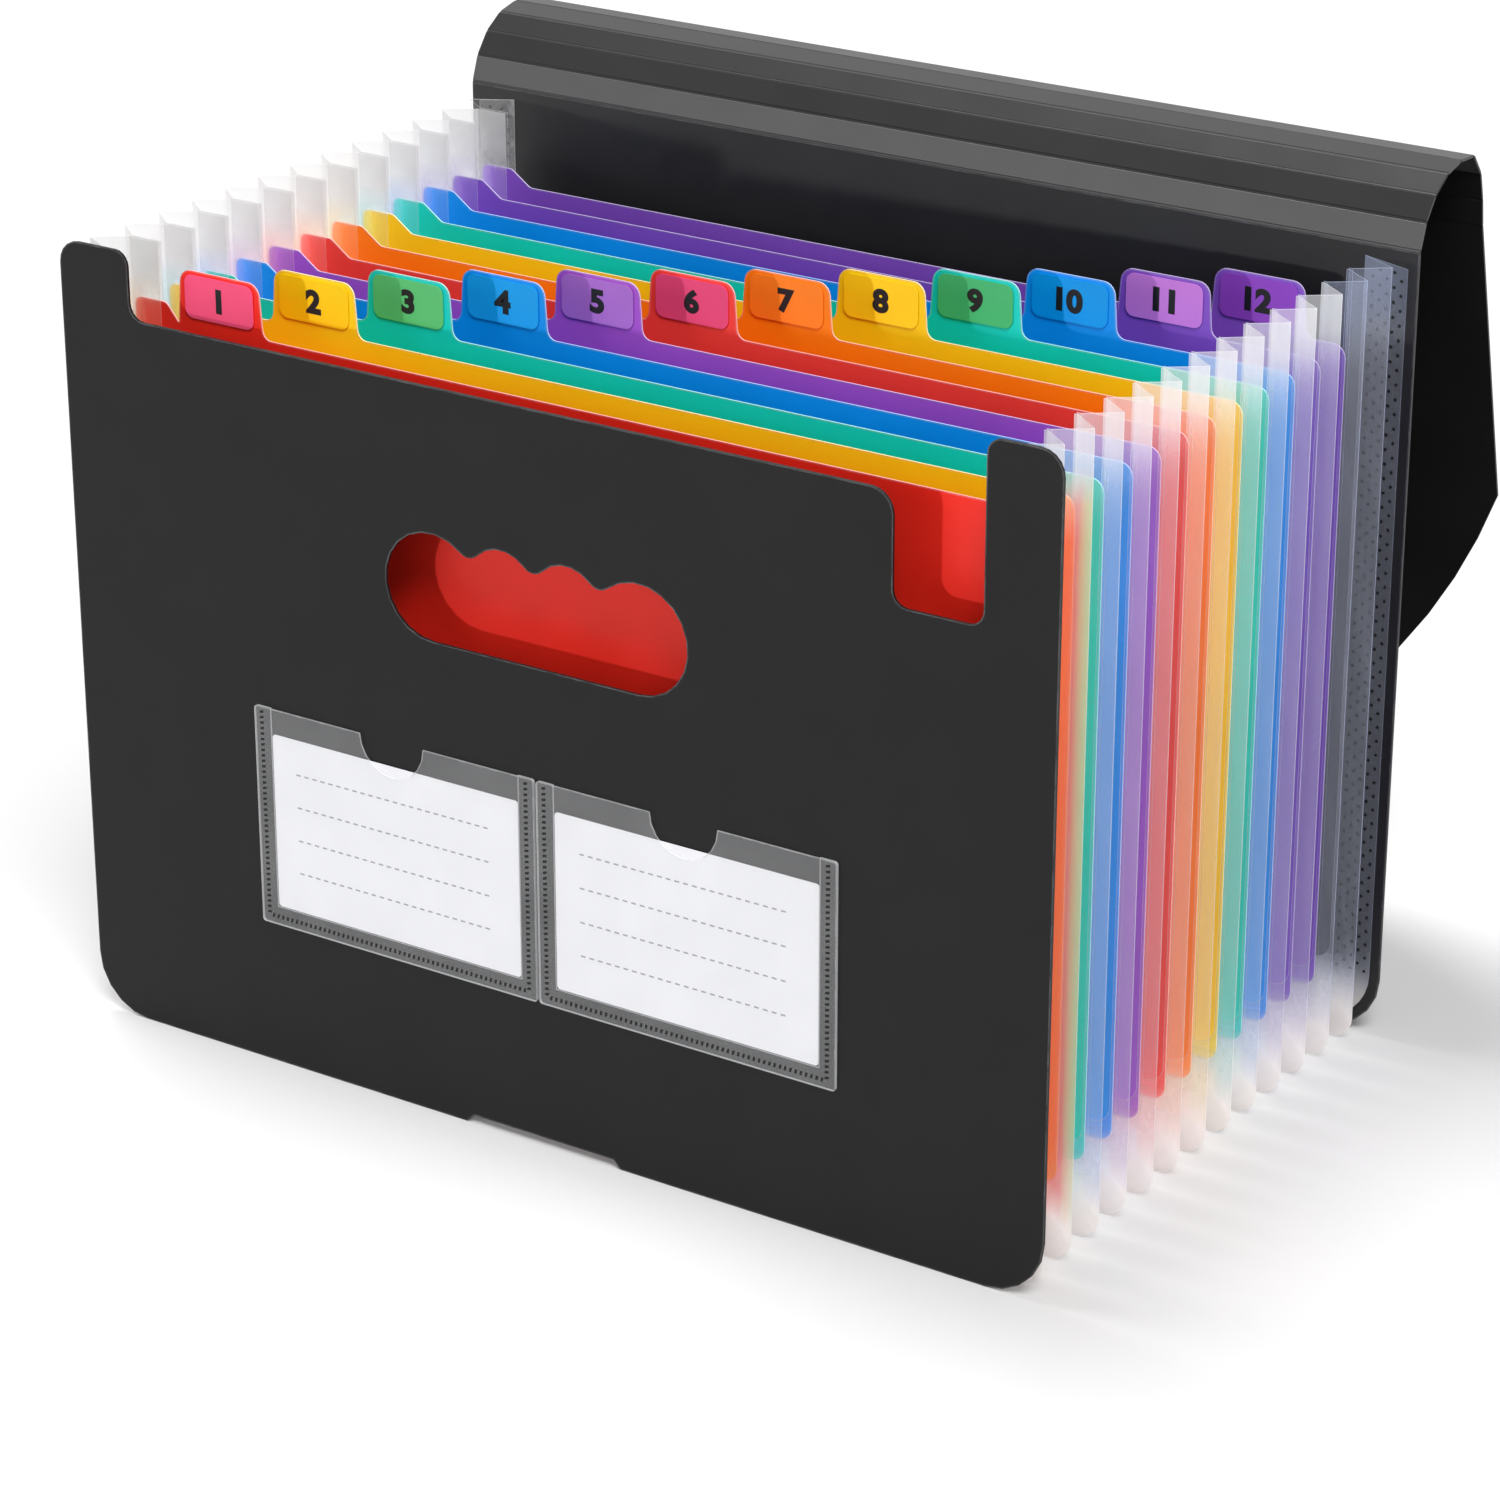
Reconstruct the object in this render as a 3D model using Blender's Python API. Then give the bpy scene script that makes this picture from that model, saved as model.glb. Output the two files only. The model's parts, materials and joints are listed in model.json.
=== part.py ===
"""An accordion file folder, standing open with its lid folded back behind it.

Two stiff covers stand upright, front and rear. Between them a thin clear film is folded
into U-shaped pleats, and a coloured divider sheet stands between each two pleats. The lid
is a row of narrow strips between scored creases, and then a long flap.
Units are metres. +X is to the right of someone who faces the front cover, +Y runs from
the front cover to the rear cover, and +Z is up. The origin is on the surface that the
folder stands on, under the middle of its bounding box.
"""

import math

import bmesh
import bpy
from mathutils import Vector

# Covers
COVER_WIDTH = 0.330
COVER_THICKNESS = 0.0008
COVER_CORNER = 0.018
REAR_HEIGHT = 0.2434

# Front cover: an ear at each side, a lower edge between them and a finger notch
EAR_HEIGHT = 0.241
FRONT_EDGE_HEIGHT = 0.221
LEFT_EAR_WIDTH = 0.025
RIGHT_EAR_WIDTH = 0.0225
EAR_OUTER_CORNER = 0.007
EAR_INNER_CORNER = 0.0045
EAR_ROOT_FILLET = 0.005
NOTCH_WIDTH = 0.0275
NOTCH_DEPTH = 0.0315
NOTCH_FILLET = 0.0045
RELIEF_WIDTH = 0.054
RELIEF_DEPTH = 0.0025
RELIEF_CORNER = 0.001

# Handle cut-out, with finger lobes along its upper edge and a bump between each two
HANDLE_CENTRE_HEIGHT = 0.1625
HANDLE_END_RADIUS = 0.016
LOBE_COUNT = 4
LOBE_PITCH = 0.022
LOBE_DEPTH = 0.0045
BUMP_RADIUS = 0.0044

# Clear card pockets on the front cover, and the cards in them
CARD_POCKET_WIDTH = 0.099
CARD_POCKET_HEIGHT = 0.068
CARD_POCKET_BOTTOM = 0.0455
CARD_POCKET_SPLIT = 0.0008
CARD_POCKET_CORNER = 0.001
WELD_BORDER = 0.0056
THUMB_RADIUS = 0.0112
CARD_HEIGHT = 0.054
CARD_THICKNESS = 0.0003
CARD_CORNER = 0.001

# Accordion film. A fold line's reach is how far the outer fold lies beyond the inner one
POCKET_COUNT = 13
POCKET_PITCH = 0.015
FILM_THICKNESS = 0.0003
FILM_BELOW_EARS = 0.001
OUTER_FOLD_INSET = 0.0027
SIDE_REACH = 0.0108
BOTTOM_REACH = 0.0175
OUTER_FOLD_CORNER = 0.007
INNER_FOLD_CORNER = 0.005
WELD_FLANGE = 0.006
END_FOLD_SETBACK = 0.003
END_FLANGE_INSET = 0.0017
END_FLANGE_DROP = 0.002

# Dividers
DIVIDER_THICKNESS = 0.0004
DIVIDER_EDGE_HEIGHT = 0.2175
DIVIDER_CORNER = 0.004
DIVIDER_EAR_RISE = 0.005
DIVIDER_EAR_WIDTH = 0.0115
DIVIDER_EAR_RUN = 0.007
DIVIDER_EAR_FILLET = 0.0025
TAB_WIDTH = 0.0283
TAB_HEIGHT = 0.016
TAB_FLARE = 0.0012
TAB_CORNER = 0.004
TAB_ROOT_FILLET = 0.003
FIRST_TAB_MARGIN = 0.0173
LAST_TAB_MARGIN = 0.0136

# Labels on the tabs
LABEL_SIDE_MARGIN = 0.0018
LABEL_TOP_MARGIN = 0.0010
LABEL_HEIGHT = 0.0128
LABEL_CORNER = 0.0026
LABEL_THICKNESS = 0.0002

# Lid: strips between creases, then the flap. Each bend is the turn at a crease, in
# degrees, backwards over the rear cover; the last one is at the flap
STRIP_WIDTH = 0.0083
CREASE_BENDS = (20, 18, 19, 20, 16, 48, 24, 7, -6)
CREASE_CHAMFER = 0.0002
FLAP_LENGTH = 0.176
FLAP_STRAIGHT_SIDE = 0.091
FLAP_TAPER_ANGLE = 22
FLAP_TAPER_RADIUS = 0.260
FLAP_CORNER = 0.024

# Clearances between pieces that touch on the real object
SEAT_GAP = 0.0003
CARD_SIDE_GAP = 0.0003
FOLD_GAP = 0.0006
FLOOR_GAP = 0.00035
CREASE_GAP = 0.0006

# Curves: the turn of one straight piece of a small arc and of a wide one, and the pieces
# of a fold line at a corner
ARC_STEP = math.radians(18)
WIDE_ARC_STEP = math.radians(5)
FOLD_CORNER_STEPS = 6

# The most that a rounded corner may take of its shorter side, and an ear's slope of the
# room between ear and tab, and the angle from which an edge of the film looks sharp
CORNER_SHARE = 0.49
EAR_RUN_SHARE = 0.9
SHARP_ANGLE = math.radians(20)

# Worked out from the sizes above
HALF_WIDTH = COVER_WIDTH / 2
HALF_COVER = COVER_THICKNESS / 2
HALF_DIVIDER = DIVIDER_THICKNESS / 2
HALF_FILM = FILM_THICKNESS / 2
DIVIDER_COUNT = POCKET_COUNT - 1
FOLDER_DEPTH = POCKET_COUNT * POCKET_PITCH
FILM_TOP = EAR_HEIGHT - FILM_BELOW_EARS
OUTER_FOLD_X = HALF_WIDTH - OUTER_FOLD_INSET
OUTER_FOLD_Z = FLOOR_GAP + 3 * HALF_FILM
INNER_FOLD_X = OUTER_FOLD_X - SIDE_REACH
INNER_FOLD_Z = OUTER_FOLD_Z + BOTTOM_REACH
DIVIDER_HALF_WIDTH = INNER_FOLD_X - FOLD_GAP
DIVIDER_BOTTOM = INNER_FOLD_Z + FOLD_GAP
TAB_TOP = DIVIDER_EDGE_HEIGHT + TAB_HEIGHT
FIRST_TAB_X = -DIVIDER_HALF_WIDTH + FIRST_TAB_MARGIN + TAB_WIDTH / 2
LAST_TAB_X = DIVIDER_HALF_WIDTH - LAST_TAB_MARGIN - TAB_WIDTH / 2
TAB_PITCH = (LAST_TAB_X - FIRST_TAB_X) / (DIVIDER_COUNT - 1)
CARD_SLOT = 2 * SEAT_GAP + CARD_THICKNESS
CARD_WIDTH = CARD_POCKET_WIDTH - 2 * (WELD_BORDER + CARD_SIDE_GAP)
CARD_POCKET_X = (CARD_POCKET_WIDTH + CARD_POCKET_SPLIT) / 2

BLACK = (0.026, 0.026, 0.028)
LID_BLACK = (0.040, 0.041, 0.042)
MILKY = (0.80, 0.82, 0.85)
SMOKY = (0.20, 0.21, 0.22)
CARD_WHITE = (0.86, 0.86, 0.88)
RED = (0.87, 0.035, 0.022)
AMBER = (0.83, 0.38, 0.005)
TEAL = (0.0, 0.44, 0.37)
BLUE = (0.0, 0.20, 0.72)
PURPLE = (0.32, 0.065, 0.45)
CRIMSON = (0.90, 0.035, 0.055)
ORANGE = (0.95, 0.19, 0.005)
VIOLET = (0.15, 0.050, 0.36)
DIVIDER_COLOURS = (
    RED, AMBER, TEAL, BLUE, PURPLE, CRIMSON, ORANGE, AMBER, TEAL, BLUE, VIOLET, VIOLET,
)
LABEL_WHITENING = 0.35


def clear_scene():
    for obj in list(bpy.data.objects):
        bpy.data.objects.remove(obj, do_unlink=True)


def material(name, colour, roughness, alpha=1.0):
    found = bpy.data.materials.get(name)
    if found:
        return found
    made = bpy.data.materials.new(name)
    made.use_nodes = True
    shader = made.node_tree.nodes["Principled BSDF"]
    shader.inputs["Base Color"].default_value = (*colour, 1.0)
    shader.inputs["Roughness"].default_value = roughness
    shader.inputs["Metallic"].default_value = 0.0
    shader.inputs["Alpha"].default_value = alpha
    made.diffuse_color = (*colour, alpha)
    return made


def paler(colour):
    return tuple(c + (1 - c) * LABEL_WHITENING for c in colour)


def add_object(name, mesh, look, parent, location=(0, 0, 0), tilt=0.0):
    """An object at a place in its parent's frame, turned about X by tilt."""
    obj = bpy.data.objects.new(name, mesh)
    obj.location = location
    obj.rotation_euler = (tilt, 0, 0)
    obj.parent = parent
    mesh.materials.append(look)
    bpy.context.scene.collection.objects.link(obj)
    return obj


def add_empty(name):
    obj = bpy.data.objects.new(name, None)
    bpy.context.scene.collection.objects.link(obj)
    return obj


def cut(obj, mesh):
    """A Boolean that cuts the mesh from the object."""
    cutter = bpy.data.objects.new(mesh.name, mesh)
    cutter.parent = obj
    cutter.hide_render = True
    cutter.display_type = "WIRE"
    bpy.context.scene.collection.objects.link(cutter)
    modifier = obj.modifiers.new(mesh.name, "BOOLEAN")
    modifier.operation = "DIFFERENCE"
    modifier.solver = "EXACT"
    modifier.object = cutter


# Outlines, in X and Z


def arc(centre, radius, start, end, step=ARC_STEP):
    """Points on an arc about centre, from angle start to angle end, both included."""
    count = max(1, math.ceil(abs(end - start) / step - 1e-6))
    angles = [start + (end - start) * i / count for i in range(count + 1)]
    return [(centre[0] + radius * math.cos(a), centre[1] + radius * math.sin(a)) for a in angles]


def rounded(corners):
    """An outline through corners (x, z, radius), each rounded by its own radius."""
    outline = []
    for i, (x, z, radius) in enumerate(corners):
        before = corners[i - 1]
        after = corners[(i + 1) % len(corners)]
        to_before = math.atan2(before[1] - z, before[0] - x)
        to_after = math.atan2(after[1] - z, after[0] - x)
        opening = (to_after - to_before) % math.tau
        side = 1 if opening < math.pi else -1
        half = min(opening, math.tau - opening) / 2
        shortest = min(math.dist((x, z), before[:2]), math.dist((x, z), after[:2]))
        radius = min(radius, CORNER_SHARE * shortest * math.tan(half))
        if radius <= 0:
            outline.append((x, z))
            continue
        middle = to_before + side * half
        reach = radius / math.sin(half)
        centre = (x + reach * math.cos(middle), z + reach * math.sin(middle))
        start = to_before - side * math.pi / 2
        outline += arc(centre, radius, start, start - side * (math.pi - 2 * half))
    return outline


def rectangle(left, bottom, right, top, radius):
    corners = ((left, bottom), (right, bottom), (right, top), (left, top))
    return rounded([(x, z, radius) for x, z in corners])


def front_cover_outline():
    left_ear = -HALF_WIDTH + LEFT_EAR_WIDTH
    right_ear = HALF_WIDTH - RIGHT_EAR_WIDTH
    notch_left = right_ear - NOTCH_WIDTH
    notch_floor = FRONT_EDGE_HEIGHT - NOTCH_DEPTH
    relief = RELIEF_WIDTH / 2
    relief_top = relief - RELIEF_DEPTH
    return rounded([
        (-HALF_WIDTH, 0, COVER_CORNER),
        (-relief, 0, RELIEF_CORNER),
        (-relief_top, RELIEF_DEPTH, RELIEF_CORNER),
        (relief_top, RELIEF_DEPTH, RELIEF_CORNER),
        (relief, 0, RELIEF_CORNER),
        (HALF_WIDTH, 0, COVER_CORNER),
        (HALF_WIDTH, EAR_HEIGHT, EAR_OUTER_CORNER),
        (right_ear, EAR_HEIGHT, EAR_INNER_CORNER),
        (right_ear, notch_floor, NOTCH_FILLET),
        (notch_left, notch_floor, NOTCH_FILLET),
        (notch_left, FRONT_EDGE_HEIGHT, EAR_OUTER_CORNER),
        (left_ear, FRONT_EDGE_HEIGHT, EAR_ROOT_FILLET),
        (left_ear, EAR_HEIGHT, EAR_INNER_CORNER),
        (-HALF_WIDTH, EAR_HEIGHT, EAR_OUTER_CORNER),
    ])


def handle_outline():
    """The cut-out: round ends, a straight lower edge, and arcs along the upper edge. Each
    arc meets the next without a corner. The two end lobes are the round ends themselves."""
    top = HANDLE_CENTRE_HEIGHT + HANDLE_END_RADIUS
    half_pitch = LOBE_PITCH / 2
    radii = (half_pitch**2 + LOBE_DEPTH**2) / (2 * LOBE_DEPTH)
    lobe_radius = radii - BUMP_RADIUS
    lobe_z = top - lobe_radius
    bump_z = top - LOBE_DEPTH + BUMP_RADIUS
    last_bump = half_pitch * (LOBE_COUNT - 2)
    rise = bump_z - HANDLE_CENTRE_HEIGHT
    run = math.sqrt((HANDLE_END_RADIUS + BUMP_RADIUS) ** 2 - rise**2)
    end_x = last_bump + run
    end_meets = math.atan2(rise, -run)
    lobe_meets = math.atan2(bump_z - lobe_z, half_pitch)

    right_end = (end_x, HANDLE_CENTRE_HEIGHT)
    outline = arc(right_end, HANDLE_END_RADIUS, -math.pi / 2, end_meets)
    for i in range(LOBE_COUNT - 1):
        bump_x = last_bump - i * LOBE_PITCH
        is_first = i == 0
        is_last = i == LOBE_COUNT - 2
        start = end_meets - math.pi if is_first else -lobe_meets
        end = -end_meets if is_last else lobe_meets - math.pi
        outline += arc((bump_x, bump_z), BUMP_RADIUS, start, end)[1:]
        if not is_last:
            lobe = (bump_x - half_pitch, lobe_z)
            outline += arc(lobe, lobe_radius, lobe_meets, math.pi - lobe_meets)[1:]
    left_end = (-end_x, HANDLE_CENTRE_HEIGHT)
    outline += arc(left_end, HANDLE_END_RADIUS, math.pi - end_meets, 1.5 * math.pi)[1:]
    return outline


def card_pocket_outline():
    """Half round at the top for a thumb. X is from the pocket's middle."""
    side = CARD_POCKET_WIDTH / 2
    bottom = CARD_POCKET_BOTTOM
    top = bottom + CARD_POCKET_HEIGHT
    thumb = arc((0, top), THUMB_RADIUS, 0, -math.pi)
    return rounded([
        (-side, bottom, CARD_POCKET_CORNER),
        (side, bottom, CARD_POCKET_CORNER),
        (side, top, CARD_POCKET_CORNER),
        *((x, z, 0) for x, z in thumb),
        (-side, top, CARD_POCKET_CORNER),
    ])


def tab_x(number):
    return FIRST_TAB_X + (number - 1) * TAB_PITCH


def divider_outline(number):
    """A sheet with its tab, and a low ear at the left that slopes down to the edge."""
    side = DIVIDER_HALF_WIDTH
    edge = DIVIDER_EDGE_HEIGHT
    ear_top = edge + DIVIDER_EAR_RISE
    tab_left = tab_x(number) - TAB_WIDTH / 2
    tab_right = tab_x(number) + TAB_WIDTH / 2
    ear_right = -side + DIVIDER_EAR_WIDTH
    room = tab_left - TAB_FLARE - ear_right
    ear_run = min(DIVIDER_EAR_RUN, EAR_RUN_SHARE * room)
    return rounded([
        (-side, DIVIDER_BOTTOM, DIVIDER_CORNER),
        (side, DIVIDER_BOTTOM, DIVIDER_CORNER),
        (side, edge, DIVIDER_CORNER),
        (tab_right + TAB_FLARE, edge, TAB_ROOT_FILLET),
        (tab_right, TAB_TOP, TAB_CORNER),
        (tab_left, TAB_TOP, TAB_CORNER),
        (tab_left - TAB_FLARE, edge, TAB_ROOT_FILLET),
        (ear_right + ear_run, edge, DIVIDER_EAR_FILLET),
        (ear_right, ear_top, DIVIDER_EAR_FILLET),
        (-side, ear_top, DIVIDER_EAR_FILLET),
    ])


def flap_outline():
    """Straight sides from the crease at Z = 0, then a long taper to a rounded end."""
    taper = math.radians(FLAP_TAPER_ANGLE)
    across = HALF_WIDTH - FLAP_TAPER_RADIUS * math.cos(taper)
    along = FLAP_STRAIGHT_SIDE - FLAP_TAPER_RADIUS * math.sin(taper)
    corner_reach = FLAP_TAPER_RADIUS - FLAP_CORNER
    taper_end = math.asin((FLAP_LENGTH - FLAP_CORNER - along) / corner_reach)
    corner_centre = (
        across + corner_reach * math.cos(taper_end),
        along + corner_reach * math.sin(taper_end),
    )
    right = [(HALF_WIDTH, CREASE_GAP / 2)]
    right += arc((across, along), FLAP_TAPER_RADIUS, taper, taper_end, WIDE_ARC_STEP)
    right += arc(corner_centre, FLAP_CORNER, taper_end, math.pi / 2)[1:]
    return right + [(-x, z) for x, z in reversed(right)]


# Meshes


def extruded(name, outline, axis, start, length):
    """A solid from an outline in the two other axes, in their X, Y, Z order."""
    bm = bmesh.new()
    corners = []
    for first, second in outline:
        place = [first, second]
        place.insert(axis, start)
        corners.append(bm.verts.new(place))
    face = bm.faces.new(corners)
    made = bmesh.ops.extrude_face_region(bm, geom=[face])["geom"]
    moved = [item for item in made if isinstance(item, bmesh.types.BMVert)]
    along = Vector(float(i == axis) for i in range(3)) * length
    bmesh.ops.translate(bm, verts=moved, vec=along)
    bmesh.ops.recalc_face_normals(bm, faces=bm.faces)
    mesh = bpy.data.meshes.new(name)
    bm.to_mesh(mesh)
    bm.free()
    return mesh


def sheet(name, outline, thickness, front=None):
    """A flat sheet that starts at Y = front, or is centred on Y = 0."""
    start = -thickness / 2 if front is None else front
    return extruded(name, outline, 1, start, thickness)


def strip_mesh(name):
    """A lid strip that runs up from its crease at Z = 0, with chamfered long edges."""
    low = CREASE_GAP / 2
    high = STRIP_WIDTH - CREASE_GAP / 2
    flat = HALF_COVER - CREASE_CHAMFER
    section = [
        (-HALF_COVER, low + CREASE_CHAMFER),
        (-flat, low),
        (flat, low),
        (HALF_COVER, low + CREASE_CHAMFER),
        (HALF_COVER, high - CREASE_CHAMFER),
        (flat, high),
        (-flat, high),
        (-HALF_COVER, high - CREASE_CHAMFER),
    ]
    return extruded(name, section, 0, -HALF_WIDTH, COVER_WIDTH)


def thickened(line):
    """The two faces of a film whose middle runs along a line of (reach, y) points, with
    mitred folds."""
    points = [Vector(point) for point in line]
    legs = [(b - a).normalized() for a, b in zip(points, points[1:])]
    normals = [Vector((-leg.y, leg.x)) for leg in legs]
    normals = [normals[0], *normals, normals[-1]]
    faces = ([], [])
    for point, before, after in zip(points, normals, normals[1:]):
        mitre = (before + after).normalized()
        offset = mitre * HALF_FILM / mitre.dot(after)
        faces[0].append(point + offset)
        faces[1].append(point - offset)
    return faces


def lane(side, low, corner, top):
    """One line of a pleat's film: down the left side, along the bottom, up the right side.
    Side and low are its (reach, y) there, and it turns at a rounded corner between them."""
    half_width = INNER_FOLD_X + side.x
    bottom = INNER_FOLD_Z - low.x
    left = [(-half_width, side.y, top)]
    for i in range(FOLD_CORNER_STEPS + 1):
        share = i / FOLD_CORNER_STEPS
        turn = share * math.pi / 2
        x = -half_width + corner * (1 - math.cos(turn))
        z = bottom + corner * (1 - math.sin(turn))
        left.append((x, side.y + (low.y - side.y) * share, z))
    return left + [(-x, y, z) for x, y, z in reversed(left)]


def pleat_mesh(name, side_line, bottom_line, corners, tops):
    """A pleat of film from its section at the sides and at the bottom. Each point of the
    section has its own corner radius, and its own height at the pleat's open top."""
    bm = bmesh.new()
    faces = []
    for side, low in zip(thickened(side_line), thickened(bottom_line)):
        lanes = [lane(*each) for each in zip(side, low, corners, tops)]
        faces.append([[bm.verts.new(place) for place in points] for points in lanes])
    ring = faces[0] + faces[1][::-1]
    for first, second in zip(ring, ring[1:] + ring[:1]):
        for i in range(len(first) - 1):
            bm.faces.new((first[i], first[i + 1], second[i + 1], second[i]))
    for end in (0, -1):
        for i in range(len(side_line) - 1):
            inner, outer = faces[0], faces[1]
            bm.faces.new((inner[i][end], inner[i + 1][end], outer[i + 1][end], outer[i][end]))
    bmesh.ops.recalc_face_normals(bm, faces=bm.faces)
    mesh = bpy.data.meshes.new(name)
    bm.to_mesh(mesh)
    bm.free()
    mesh.shade_smooth()
    mesh.set_sharp_from_angle(angle=SHARP_ANGLE)
    return mesh


# Sections of the film. Each is half a pleat: from the sheet that it is welded to, at
# Y = 0, to its outer fold. Reach is measured outwards from the inner fold


def divider_half(outer_reach):
    seat = HALF_DIVIDER + SEAT_GAP + HALF_FILM
    return [(-WELD_FLANGE, seat), (0, seat), (outer_reach, POCKET_PITCH / 2)]


def cover_half(outer_reach, flange_reach):
    seat = HALF_COVER + SEAT_GAP + HALF_FILM
    return [(flange_reach, seat), (-END_FOLD_SETBACK, seat), (outer_reach, POCKET_PITCH / 2)]


def half_sections(at_cover):
    """A half pleat's section at the sides and at the bottom, its corner radii and tops."""
    inner = INNER_FOLD_CORNER
    if not at_cover:
        sections = divider_half(SIDE_REACH), divider_half(BOTTOM_REACH)
        return *sections, [inner, inner, OUTER_FOLD_CORNER], [FILM_TOP] * 3
    side_flange = HALF_WIDTH - END_FLANGE_INSET - INNER_FOLD_X
    bottom_flange = INNER_FOLD_Z - END_FLANGE_INSET
    sections = cover_half(SIDE_REACH, side_flange), cover_half(BOTTOM_REACH, bottom_flange)
    corners = [COVER_CORNER - END_FLANGE_INSET, inner, OUTER_FOLD_CORNER]
    return *sections, corners, [FILM_TOP - END_FLANGE_DROP, FILM_TOP, FILM_TOP]


def join_halves(first, second):
    return first + second[-2::-1]


def pleat(number):
    """A whole pleat's sections, corner radii and tops. The rear half is a front half,
    reversed and turned round."""
    front = half_sections(at_cover=number == 1)
    rear = half_sections(at_cover=number == POCKET_COUNT)
    turned = [[(reach, POCKET_PITCH - y) for reach, y in line] for line in rear[:2]]
    rear = (*turned, *rear[2:])
    return [join_halves(a, b) for a, b in zip(front, rear)]


# Assembly


def add_covers(folder):
    look = material("black sheet", BLACK, 0.42)
    front_mesh = sheet("front_cover", front_cover_outline(), COVER_THICKNESS)
    front = add_object("front_cover", front_mesh, look, folder)
    cut(front, sheet("handle cut", handle_outline(), 3 * COVER_THICKNESS))

    top = REAR_HEIGHT - CREASE_GAP / 2
    rear_outline = rounded([
        (-HALF_WIDTH, 0, COVER_CORNER),
        (HALF_WIDTH, 0, COVER_CORNER),
        (HALF_WIDTH, top, 0),
        (-HALF_WIDTH, top, 0),
    ])
    rear_mesh = sheet("rear_cover", rear_outline, COVER_THICKNESS)
    add_object("rear_cover", rear_mesh, look, folder, (0, FOLDER_DEPTH, 0))
    return front


def add_card_pocket(front, side_name, x):
    look = material("clear film", SMOKY, 0.2, 0.5)
    slot_front = -HALF_COVER - CARD_SLOT
    body_front = slot_front - FILM_THICKNESS
    depth = CARD_SLOT - SEAT_GAP + FILM_THICKNESS
    name = f"card_pocket_{side_name}"
    mesh = sheet(name, card_pocket_outline(), depth, body_front)
    pocket = add_object(name, mesh, look, front, (x, 0, 0))

    slot_side = CARD_POCKET_WIDTH / 2 - WELD_BORDER
    slot_bottom = CARD_POCKET_BOTTOM + WELD_BORDER
    slot = rectangle(-slot_side, slot_bottom, slot_side, slot_bottom + CARD_POCKET_HEIGHT, 0)
    cut(pocket, sheet(f"{name} slot", slot, 2 * CARD_SLOT, slot_front))

    card_look = material("card", CARD_WHITE, 0.6)
    card_outline = rectangle(-CARD_WIDTH / 2, 0, CARD_WIDTH / 2, CARD_HEIGHT, CARD_CORNER)
    card_mesh = sheet(f"label_card_{side_name}", card_outline, CARD_THICKNESS)
    card_place = (x, slot_front + CARD_SLOT / 2, slot_bottom + CARD_SIDE_GAP)
    add_object(card_mesh.name, card_mesh, card_look, front, card_place)


def add_divider(folder, number):
    colour = DIVIDER_COLOURS[(number - 1) % len(DIVIDER_COLOURS)]
    name = f"divider_{number:02}"
    look = material(name, colour, 0.38)
    mesh = sheet(name, divider_outline(number), DIVIDER_THICKNESS)
    divider = add_object(name, mesh, look, folder, (0, number * POCKET_PITCH, 0))

    label_name = f"tab_label_{number:02}"
    label_look = material(label_name, paler(colour), 0.45)
    side = TAB_WIDTH / 2 - LABEL_SIDE_MARGIN
    outline = rectangle(-side, -LABEL_HEIGHT, side, 0, LABEL_CORNER)
    front = -HALF_DIVIDER - SEAT_GAP - LABEL_THICKNESS
    label_mesh = sheet(label_name, outline, LABEL_THICKNESS, front)
    label_place = (tab_x(number), 0, TAB_TOP - LABEL_TOP_MARGIN)
    add_object(label_name, label_mesh, label_look, divider, label_place)


def add_pleat(folder, number):
    name = f"pleat_{number:02}"
    mesh = pleat_mesh(name, *pleat(number))
    look = material("milky film", MILKY, 0.3, 0.5)
    add_object(name, mesh, look, folder, (0, (number - 1) * POCKET_PITCH, 0))


def add_lid(folder):
    """Each piece has its origin on the crease that it turns about, and hangs on the piece
    before it."""
    look = material("lid sheet", LID_BLACK, 0.4)
    carrier = folder
    crease = (0, FOLDER_DEPTH, REAR_HEIGHT)
    for i, bend in enumerate(CREASE_BENDS):
        is_flap = i == len(CREASE_BENDS) - 1
        name = "lid_flap" if is_flap else f"lid_strip_{i + 1}"
        mesh = sheet(name, flap_outline(), COVER_THICKNESS) if is_flap else strip_mesh(name)
        carrier = add_object(name, mesh, look, carrier, crease, -math.radians(bend))
        crease = (0, 0, STRIP_WIDTH)


def centre_over_origin(folder):
    """Moves the folder along Y, so that the middle of its bounding box is at Y = 0."""
    bpy.context.view_layer.update()
    depths = []
    for obj in bpy.context.scene.objects:
        if obj.type == "MESH" and not obj.hide_render:
            depths += [(obj.matrix_world @ vertex.co).y for vertex in obj.data.vertices]
    folder.location.y = -(min(depths) + max(depths)) / 2


def main():
    clear_scene()
    folder = add_empty("folder")
    front = add_covers(folder)
    add_card_pocket(front, "left", -CARD_POCKET_X)
    add_card_pocket(front, "right", CARD_POCKET_X)
    for number in range(1, DIVIDER_COUNT + 1):
        add_divider(folder, number)
    for number in range(1, POCKET_COUNT + 1):
        add_pleat(folder, number)
    add_lid(folder)
    centre_over_origin(folder)


main()
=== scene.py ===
"""The looks of an accordion file folder that stands open with its lid folded back.

The covers, dividers, labels, cards, card pockets, lid strips and flap are the frame's own
solids with finished materials. The bellows film and the webs in the lid's creases are made
here, and so are the numbers on the labels, the dashed lines on the cards, the weld marks and
the painted highlights along the sheets' edges.
"""

import json
import math
import random

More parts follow.
